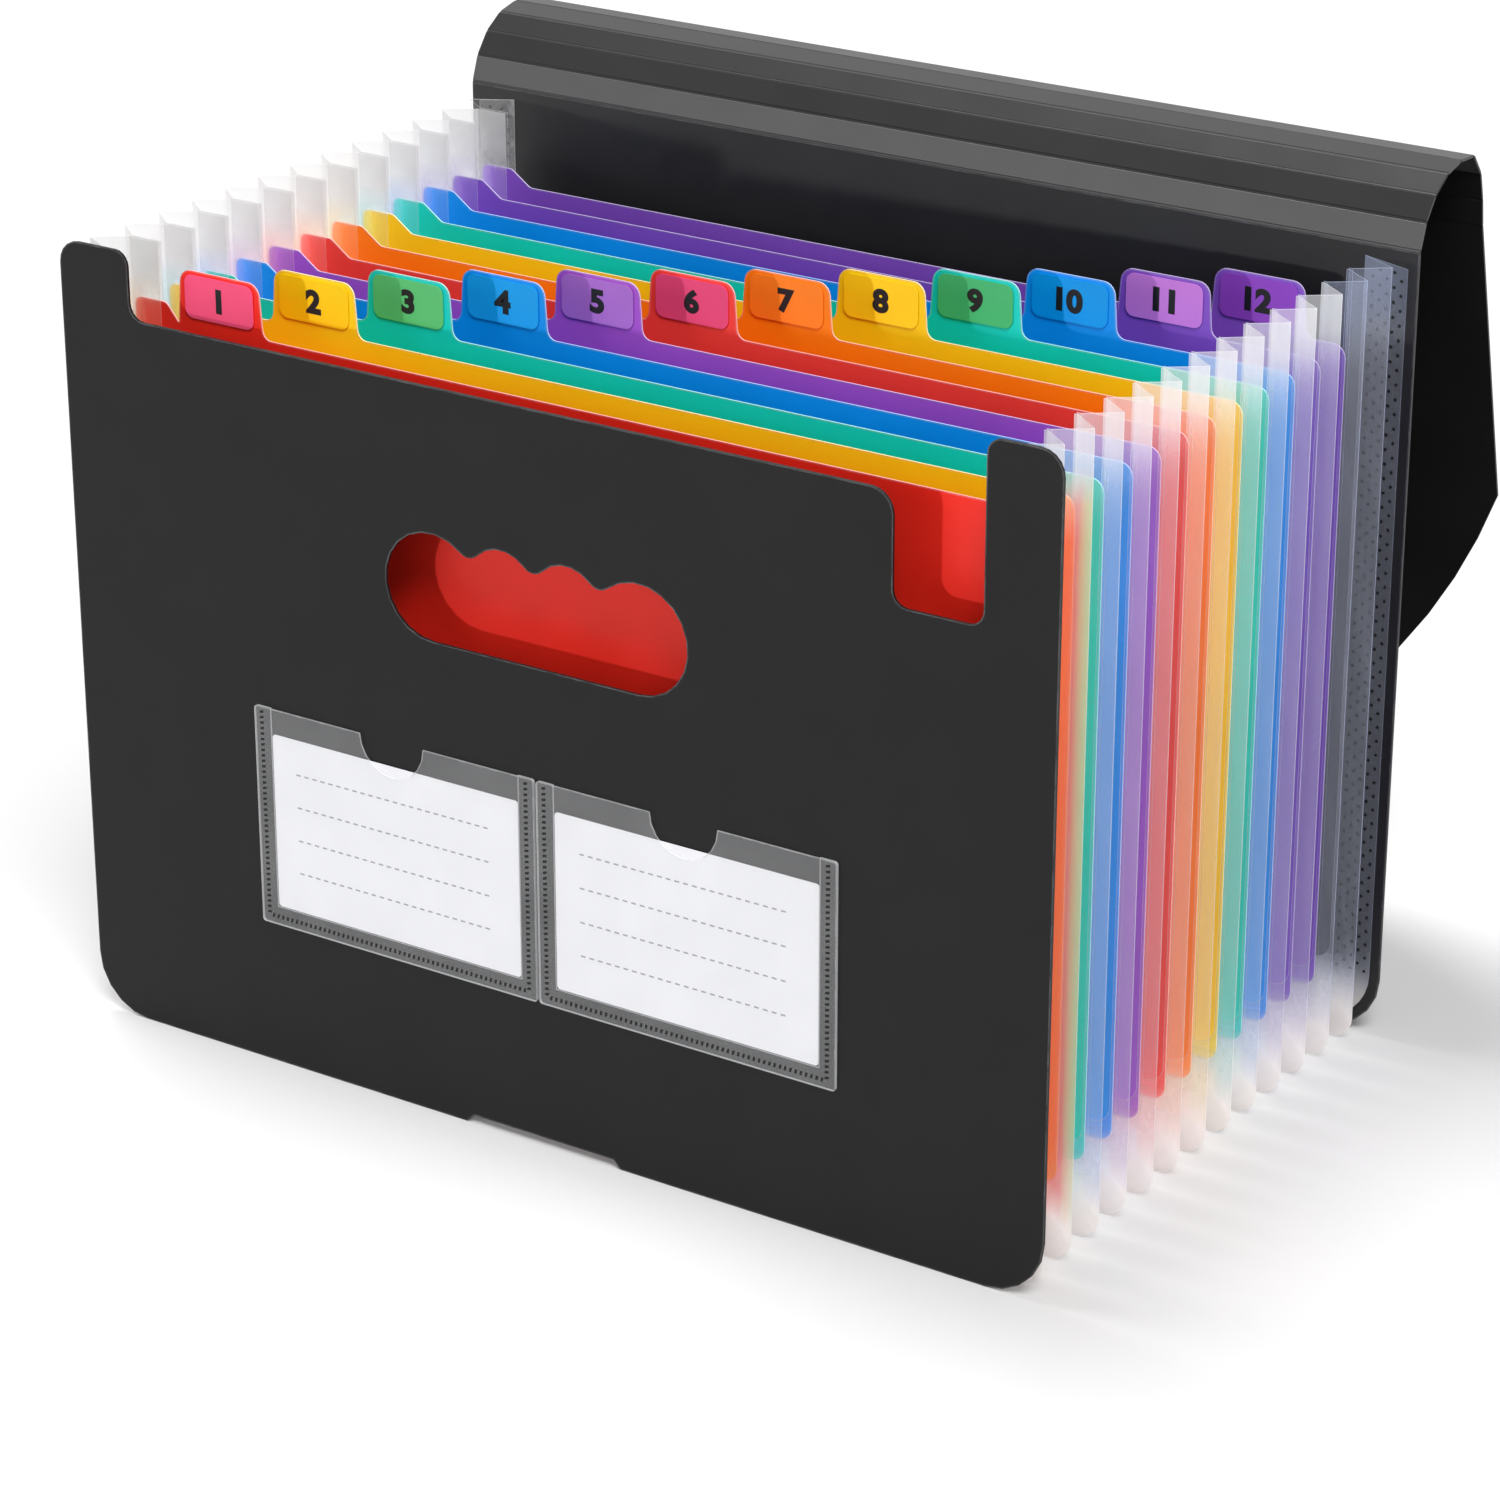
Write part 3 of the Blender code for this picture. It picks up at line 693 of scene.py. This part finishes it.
def film_rows(left, low, right, corner, top, film):
    """The film's path for one point of the section: down the left, along the bottom, and up
    the right."""
    left_x = -(film["inner_x"] + left[0])
    right_x = film["inner_x"] + right[0]
    bottom = film["inner_z"] - low[0]
    shares = leg_shares(top - bottom - corner, SIDE_STEPS)
    down = [top + (bottom + corner - top) * share for share in shares]
    start, end = left_x + corner, right_x - corner
    along = [start + (end - start) * i / BOTTOM_STEPS for i in range(1, BOTTOM_STEPS)]
    rows = [(left_x, left[1], z) for z in down]
    rows += corner_rows(left_x, 1, left[1], low[1], bottom, corner)
    rows += [(x, low[1], bottom) for x in along]
    rows += reversed(corner_rows(right_x, -1, right[1], low[1], bottom, corner))
    rows += [(right_x, right[1], z) for z in reversed(down)]
    return rows


def pleat_places(film, number):
    """The points of one pleat, in rows along its path and columns across its folds."""
    side_flange = film["cover_half_width"] - COVER_FLANGE_INSET - film["inner_x"]
    low_flange = film["inner_z"] - COVER_FLANGE_INSET
    side_reach, bottom_reach = film["side_reach"], film["bottom_reach"]
    left = along_legs(section(film, number, side_reach, LEFT_FLANGE, side_flange))
    right = along_legs(section(film, number, side_reach, RIGHT_FLANGE, side_flange))
    low = along_legs(section(film, number, bottom_reach, BOTTOM_FLANGE, low_flange))
    corners = [INNER_CORNER, INNER_CORNER, OUTER_CORNER, INNER_CORNER, INNER_CORNER]
    tops = [film["top"]] * len(corners)
    for end, is_cover in ((0, number == 1), (-1, number == DIVIDER_COUNT + 1)):
        if is_cover:
            corners[end] = COVER_FLANGE_CORNER
            tops[end] -= COVER_FLANGE_DROP
    shape = along_legs(np.array(list(zip(corners, tops))))
    columns = [
        film_rows(a, b, c, corner, top, film)
        for a, b, c, (corner, top) in zip(left, low, right, shape)
    ]
    return np.array(columns).transpose(1, 0, 2)


def bow_of_path(number, rows):
    """How far the panels bow at each row: slight waves that differ from pleat to pleat."""
    draw = random.Random(SEED + number)
    along = np.arange(rows)[:, None] / rows
    wave = np.zeros((rows, 1))
    for cycles in WAVE_CYCLES:
        wave += np.sin(math.tau * (cycles * along + draw.random())) / cycles
    return wave


def add_pleat(film, number, look):
    """One pleat of film, folded between the sheets that it joins."""
    places = pleat_places(film, number)
    rows, width = places.shape[:2]
    bow, fold = bends_of_legs()
    places[:, :, 1] += PANEL_WAVE * bow[None, :] * bow_of_path(number, rows)
    opacity, tint = film_shades(places, fold, number, film)
    crinkle = np.zeros((rows, width))
    if number == DIVIDER_COUNT + 1:
        crinkle[:, -1 - FLANGE_POINTS:] = 1.0
        crinkle *= places[:, :, 0] < 0
    name = f"film_{number:02}"
    obj = add_mesh(name, places.reshape(-1, 3), grid_faces(rows, width), look, smooth=True)
    add_values(obj, "opacity", "FLOAT", "value", opacity)
    add_values(obj, "crinkle", "FLOAT", "value", crinkle)
    add_values(obj, "tint", "FLOAT_COLOR", "color", tint)
    add_film_map(obj, places)
    obj.data.set_sharp_from_angle(angle=SHARP_FOLD)
    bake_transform(obj)
    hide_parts(f"pleat_{number:02}")


def add_values(obj, name, kind, field, values):
    attribute = obj.data.attributes.new(name, kind, "POINT")
    attribute.data.foreach_set(field, values.ravel().astype(np.float32))


def add_film_map(obj, places):
    """A map in metres: across the folds, and along the film's path."""
    across = np.zeros(places.shape[:2])
    across[:, 1:] = np.cumsum(np.linalg.norm(np.diff(places, axis=1), axis=2), axis=1)
    along = np.zeros(places.shape[:2])
    along[1:] = np.cumsum(np.linalg.norm(np.diff(places, axis=0), axis=2), axis=0)
    corners = np.zeros(len(obj.data.loops), dtype=np.int32)
    obj.data.loops.foreach_get("vertex_index", corners)
    both = np.stack([across.ravel()[corners], along.ravel()[corners]], axis=1)
    layer = obj.data.uv_layers.new(name="film")
    layer.data.foreach_set("uv", both.ravel().astype(np.float32))


# Lid


def web_section(before, place, after):
    """A crease's web, seen from its end: the two faces of a thin sheet in a gentle bend."""
    reach = CREASE_GAP / 2 + WEB_OVERLAP
    into = (place - before).normalized()
    out = (after - place).normalized()
    start, end = place - into * reach, place + out * reach
    faces = ([], [])
    for i in range(WEB_STEPS + 1):
        t = i / WEB_STEPS
        point = start * (1 - t) ** 2 + place * 2 * t * (1 - t) + end * t**2
        along = into.lerp(out, t).normalized()
        off = WEB_THICKNESS / 2 * Vector((0, -along.z, along.y))
        faces[0].append(point + off)
        faces[1].append(point - off)
    return faces[0] + faces[1][::-1], start, end


def add_web(joint, before, place, after, half_width, look):
    """The thin web of sheet that is left in a crease."""
    outline, start, end = web_section(before, place, after)
    count = len(outline)
    places = [Vector((x, p.y, p.z)) for x in (-half_width, half_width) for p in outline]
    faces = [(i, (i + 1) % count, count + (i + 1) % count, count + i) for i in range(count)]
    faces += [tuple(range(count))[::-1], tuple(range(count, 2 * count))]
    web = add_mesh(f"web_{joint['name']}", places, faces, look, smooth=True)
    web.data.set_sharp_from_angle(angle=SHARP_WEB)
    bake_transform(web)


def add_webs(look):
    """A web in each crease, on the line that the creases make in the plane X = 0, from below
    the first one to the flap's far end."""
    creases = [joint for joint in frame["joints"] if "crease" in joint["name"]]
    places = [Vector(joint["pos_m"]) for joint in creases]
    low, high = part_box("lid_flap")
    line = [places[0] - Vector((0, 0, 1)), *places, Vector((0, high.y, low.z))]
    half_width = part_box("lid_strip_1")[1].x
    for joint, before, place, after in zip(creases, line, line[1:], line[2:]):
        add_web(joint, before, place, after, half_width, look)


# Marks


def number_mesh(number):
    """A number in Blender's own type, as a mesh of any size."""
    curve = bpy.data.curves.new(f"number_{number:02}", "FONT")
    curve.body = str(number)
    curve.align_x = "CENTER"
    curve.align_y = "CENTER"
    curve.size = NUMBER_TYPE_SIZE
    curve.offset = NUMBER_BOLDNESS
    curve.bevel_depth = NUMBER_ROUNDING
    written = new_object("written", curve)
    bpy.context.view_layer.update()
    shapes = bpy.context.evaluated_depsgraph_get()
    mesh = bpy.data.meshes.new_from_object(written.evaluated_get(shapes))
    bpy.data.objects.remove(written)
    return mesh


def add_number(number, look):
    """A plain number in the middle of a tab's label."""
    mesh = number_mesh(number)
    spots = np.array([tuple(v.co) for v in mesh.vertices])
    scale = NUMBER_HEIGHT / (spots[:, 1].max() - spots[:, 1].min())
    depth = INK_THICKNESS / spots[:, 2].max()
    spots = spots - (spots.max(axis=0) + spots.min(axis=0)) / 2
    low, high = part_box(f"tab_label_{number:02}")
    middle = (low + high) / 2
    for vertex, (x, z, out) in zip(mesh.vertices, spots):
        vertex.co = (
            middle.x + x * scale * NUMBER_STRETCH,
            low.y - INK_THICKNESS - out * depth,
            middle.z + z * scale,
        )
    mesh.name = f"number_{number:02}"
    mesh.materials.clear()
    mesh.materials.append(look)
    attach(new_object(mesh.name, mesh), f"leaf_{number:02}")


def add_marks(name, outlines, y, look, body):
    """Flat marks that face the front, each an outline of (x, z) points, on one plane."""
    places, faces = [], []
    for outline in outlines:
        faces.append(tuple(range(len(places), len(places) + len(outline))))
        places += [(x, y, z) for x, z in outline]
    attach(add_mesh(name, places, faces, look), body)


def bar(x, z, width, height, lean_x=0.0, lean_z=0.0):
    """A small bar, whose right end is higher by lean_z and whose top is further right by
    lean_x."""
    corners = ((-1, -1), (1, -1), (1, 1), (-1, 1))
    return [
        (x + (i * width + j * lean_x) / 2, z + (j * height + i * lean_z) / 2) for i, j in corners
    ]


def disc(x, z, radius):
    turns = [math.tau * i / DOT_SIDES for i in range(DOT_SIDES)]
    return [(x + radius * math.cos(t), z + radius * math.sin(t)) for t in turns]


def spaced(start, end, pitch, offset=0.0):
    """Even steps that fill the way from start to end, all moved by offset steps."""
    count = max(1, round((end - start) / pitch))
    step = (end - start) / count
    places = [start + step * (i + 0.5 + offset) for i in range(count)]
    return [place for place in places if start < place < end]


def add_dashes(side, look):
    """Four dashed writing lines on a card."""
    low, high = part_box(f"label_card_{side}")
    dashes = []
    for drop in DASH_LINE_DROPS:
        x = low.x + DASH_MARGIN
        while x + DASH_LENGTH < high.x - DASH_MARGIN:
            dashes.append(bar(x + DASH_LENGTH / 2, high.z - drop, DASH_LENGTH, DASH_WIDTH))
            x += DASH_PITCH
    add_marks(f"dashed_lines_{side}", dashes, low.y - MARK_LIFT, look, f"card_{side}")


def add_weld_bars(side, look):
    """A row of short weld bars along a card pocket's sides and bottom, each across the edge."""
    low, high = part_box(f"card_pocket_{side}")
    left, right = low.x + WELD_BAR_INSET, high.x - WELD_BAR_INSET
    bottom = low.z + WELD_BAR_INSET
    half = WELD_BAR_LENGTH / 2
    bars = []
    for z in spaced(bottom, high.z - WELD_BAR_WIDTH, WELD_BAR_PITCH):
        for x in (left, right):
            bars.append(bar(x, z, WELD_BAR_LENGTH, WELD_BAR_WIDTH, lean_z=WELD_BAR_LEAN))
    for x in spaced(left + half, right - half, WELD_BAR_PITCH):
        bars.append(bar(x, bottom, WELD_BAR_WIDTH, WELD_BAR_LENGTH, lean_x=WELD_BAR_LEAN))
    add_marks(f"weld_bars_{side}", bars, low.y - MARK_LIFT, look, "front")


def add_cover_dots(film, look):
    """Staggered columns of weld dots down both sides of the rear cover's flange."""
    y = film["planes"][-1] - film["half_cover"] - FILM_SEAT - COVER_DOT_LIFT
    outer = film["cover_half_width"] - COVER_FLANGE_INSET - COVER_DOT_INSET
    top = film["top"] - COVER_FLANGE_DROP - COVER_DOT_RADIUS
    bottom = COVER_FLANGE_CORNER + COVER_FLANGE_INSET
    dots = []
    for column in range(COVER_DOT_COLUMNS):
        stagger = COVER_DOT_STAGGER if column % 2 else -COVER_DOT_STAGGER
        heights = spaced(bottom, top, COVER_DOT_PITCH, stagger)
        for side in (-1, 1):
            x = side * (outer - column * COVER_DOT_SPACING)
            dots += [disc(x, z, COVER_DOT_RADIUS) for z in heights]
    add_marks("weld_dots_rear", dots, y, look, "rear")


# Rims: painted highlights


def front_outlines(obj):
    """The outlines of a sheet's front face, as closed loops of (x, z) points that run with
    the face on their left, seen from the front."""
    shape = bmesh.new()
    shape.from_mesh(obj.data)
    bmesh.ops.remove_doubles(shape, verts=shape.verts, dist=SAME_PLACE)
    facing = [face for face in shape.faces if face.normal.y < FACES_FRONT]
    among = set(facing)
    follow = {}
    for face in facing:
        for loop in face.loops:
            others = [other for other in loop.edge.link_faces if other is not face]
            if not among.intersection(others):
                follow[loop.vert] = loop.link_loop_next.vert
    outlines = []
    while follow:
        start, at = follow.popitem()
        line = [Vector((start.co.x, start.co.z))]
        while at is not start:
            line.append(Vector((at.co.x, at.co.z)))
            at = follow.pop(at)
        outlines.append(line)
    shape.free()
    return outlines


def inner_point(before, point, after, width):
    """The point at the given width inside an outline's corner."""
    inward = [Vector((-d.y, d.x)).normalized() for d in (point - before, after - point)]
    middle = (inward[0] + inward[1]).normalized()
    return point + middle * width / max(RIM_MITRE_LIMIT, middle.dot(inward[0]))


def add_rim(node_name, width, look, body, bare=None):
    """A thin painted highlight along the edge of a sheet's front face, for the light that its
    slightly rounded cut edge would catch. None of it is over the box bare."""
    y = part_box(node_name)[0].y - MARK_LIFT / 2
    places, faces = [], []
    for line in front_outlines(frame["nodes"][node_name]):
        first, count = len(places), len(line)
        for i, point in enumerate(line):
            inner = inner_point(line[i - 1], point, line[(i + 1) % count], width)
            places += [(point.x, y, point.y), (inner.x, y, inner.y)]
            if bare and bare[0].x < point.x < bare[1].x and bare[0].z < point.y < bare[1].z:
                continue
            a, b = first + 2 * i, first + 2 * ((i + 1) % count)
            faces.append((a, b, b + 1, a + 1))
    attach(add_mesh(f"rim_{node_name}", places, faces, look), body)


def add_rims():
    """Painted highlight rims on the dividers, but not under the film on the right, and on the
    covers and card pockets, but not over the cards."""
    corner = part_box("divider_01")[1]
    under_film = (corner - Vector((RIM_SETBACK, 0, corner.z)), corner + Vector((1, 0, 1)))
    for i, sheet_colour in enumerate(SHEET_COLOURS):
        number = f"{i + 1:02}"
        # painted highlight: a lighter copy of the sheet's colour
        colour = tuple(c + (1 - c) * SHEET_RIM_HIGHLIGHT for c in sheet_colour)
        look = rim_look(f"rim_{number}", colour, SHEET_RIM_OPACITY)
        add_rim(f"divider_{number}", SHEET_RIM, look, f"leaf_{number}", under_film)
    grey = rim_look("cover_rim", COVER_RIM_GREY, COVER_RIM_OPACITY)
    for side in ("front", "rear"):
        add_rim(f"{side}_cover", COVER_RIM, grey, side)
    white = rim_look("pocket_rim", POCKET_RIM_WHITE, POCKET_RIM_OPACITY)
    for side in ("left", "right"):
        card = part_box(f"label_card_{side}")
        add_rim(f"card_pocket_{side}", POCKET_RIM, white, "front", card)


# Stage


def add_camera():
    data = bpy.data.cameras.new("camera")
    data.lens = CAMERA_LENS
    data.sensor_width = CAMERA_SENSOR
    camera = new_object("camera", data)
    camera.location = CAMERA_PLACE
    camera.rotation_euler = (math.pi / 2 - CAMERA_ELEVATION, 0, CAMERA_AZIMUTH)
    bpy.context.scene.camera = camera


def add_lamp(name, direction, width, level):
    """A far soft lamp, which lights everything alike."""
    data = bpy.data.lights.new(name, "SUN")
    data.angle = math.radians(width)
    data.energy = level * math.pi
    lamp = new_object(name, data)
    away = Vector(direction).normalized()
    lamp.location = away
    lamp.rotation_euler = away.to_track_quat("Z", "Y").to_euler()


def seen_directly(tree):
    """1 where the camera, a reflection or a clear piece shows the surface."""
    path = node(tree, "LightPath").outputs
    seen = maths(tree, "MAXIMUM", path["Is Camera Ray"], path["Is Glossy Ray"])
    return maths(tree, "MAXIMUM", seen, path["Is Transmission Ray"])


def add_world():
    """White where it is seen, and weaker as light."""
    world = bpy.data.worlds.new("studio")
    world.use_nodes = True
    tree = world.node_tree
    tree.nodes.clear()
    strength = maths(tree, "MULTIPLY_ADD", seen_directly(tree), 1 - FILL_LEVEL, FILL_LEVEL)
    light = node(tree, "Background", {"Color": WHITE, "Strength": strength})
    node(tree, "OutputWorld", {"Surface": light.outputs[0]})
    bpy.context.scene.world = world


def add_floor():
    """A pale floor that keeps the folder's shadow. Seen directly it is white, and it throws
    less light back at the folder."""
    made, tree = new_tree("floor")
    bounce, pale = (
        node(tree, "BsdfDiffuse", {"Color": (level, level, level, 1.0)}).outputs[0]
        for level in (FLOOR_BOUNCE, FLOOR_WHITE)
    )
    lift = node(tree, "Emission", {"Color": WHITE, "Strength": FLOOR_LIFT}).outputs[0]
    shown = node(tree, "AddShader", {0: pale, 1: lift}).outputs[0]
    finish_tree(tree, mix_shaders(tree, seen_directly(tree), bounce, shown))
    half = FLOOR_SIZE / 2
    corners = [(-half, -half), (half, -half), (half, half), (-half, half)]
    floor = add_mesh("floor", [(x, y, -FLOOR_DROP) for x, y in corners], [(0, 1, 2, 3)], made)


# Assembly


def dress_frame():
    """Materials for the frame's own solids. Gives the lid's, which the webs share."""
    nodes = frame["nodes"]
    front = black_sheet("black_front", COVER_BLACK, FRONT_SHINE, COVER_ROUGHNESS)
    rear = black_sheet("black_rear", REAR_BLACK_PAINTED_LIGHTER, REAR_SHINE, COVER_ROUGHNESS)
    lid = black_sheet("black_lid", LID_BLACK, FLAP_SHINE, LID_ROUGHNESS)
    wear(nodes["front_cover"], front)
    wear(nodes["rear_cover"], rear)
    wear(nodes["lid_flap"], lid)
    for i, shine in enumerate(STRIP_SHINES_FOR_PAINTED_LIGHT, 1):
        strip = black_sheet(f"black_strip_{i}", LID_BLACK, shine, LID_ROUGHNESS)
        wear(nodes[f"lid_strip_{i}"], strip)
    for i in range(DIVIDER_COUNT):
        number = f"{i + 1:02}"
        wear(nodes[f"divider_{number}"], coloured_sheet(f"sheet_{number}", SHEET_COLOURS[i]))
        label = matt(f"label_{number}", LABEL_COLOURS[i], LABEL_ROUGHNESS)
        wear(nodes[f"tab_label_{number}"], label)
    film = pocket_film("pocket_film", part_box("card_pocket_left")[0].y + MARK_LIFT)
    paper = matt("paper", PAPER, PAPER_ROUGHNESS)
    for side in ("left", "right"):
        wear(nodes[f"card_pocket_{side}"], film)
        wear(nodes[f"label_card_{side}"], paper)
    return lid


def add_pieces(lid):
    film = film_frame()
    frosted = film_look("frosted_film")
    for number in range(1, DIVIDER_COUNT + 2):
        add_pleat(film, number, frosted)
    add_webs(lid)
    ink = matt("ink", INK, INK_ROUGHNESS)
    for number in range(1, DIVIDER_COUNT + 1):
        add_number(number, ink)
    dashes = matt("dashes", DASH_GREY, MARK_ROUGHNESS)
    dots = matt("weld_dots", DOT_BLACK, MARK_ROUGHNESS)
    for side in ("left", "right"):
        add_dashes(side, dashes)
        add_weld_bars(side, dots)
    add_cover_dots(film, dots)
    add_rims()


for unwanted in list(bpy.data.objects):
    bpy.data.objects.remove(unwanted, do_unlink=True)
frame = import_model()
bpy.context.scene.view_settings.view_transform = "Standard"
add_camera()
add_world()
for name, lamp in LAMPS.items():
    add_lamp(name, *lamp)
add_floor()
add_pieces(dress_frame())
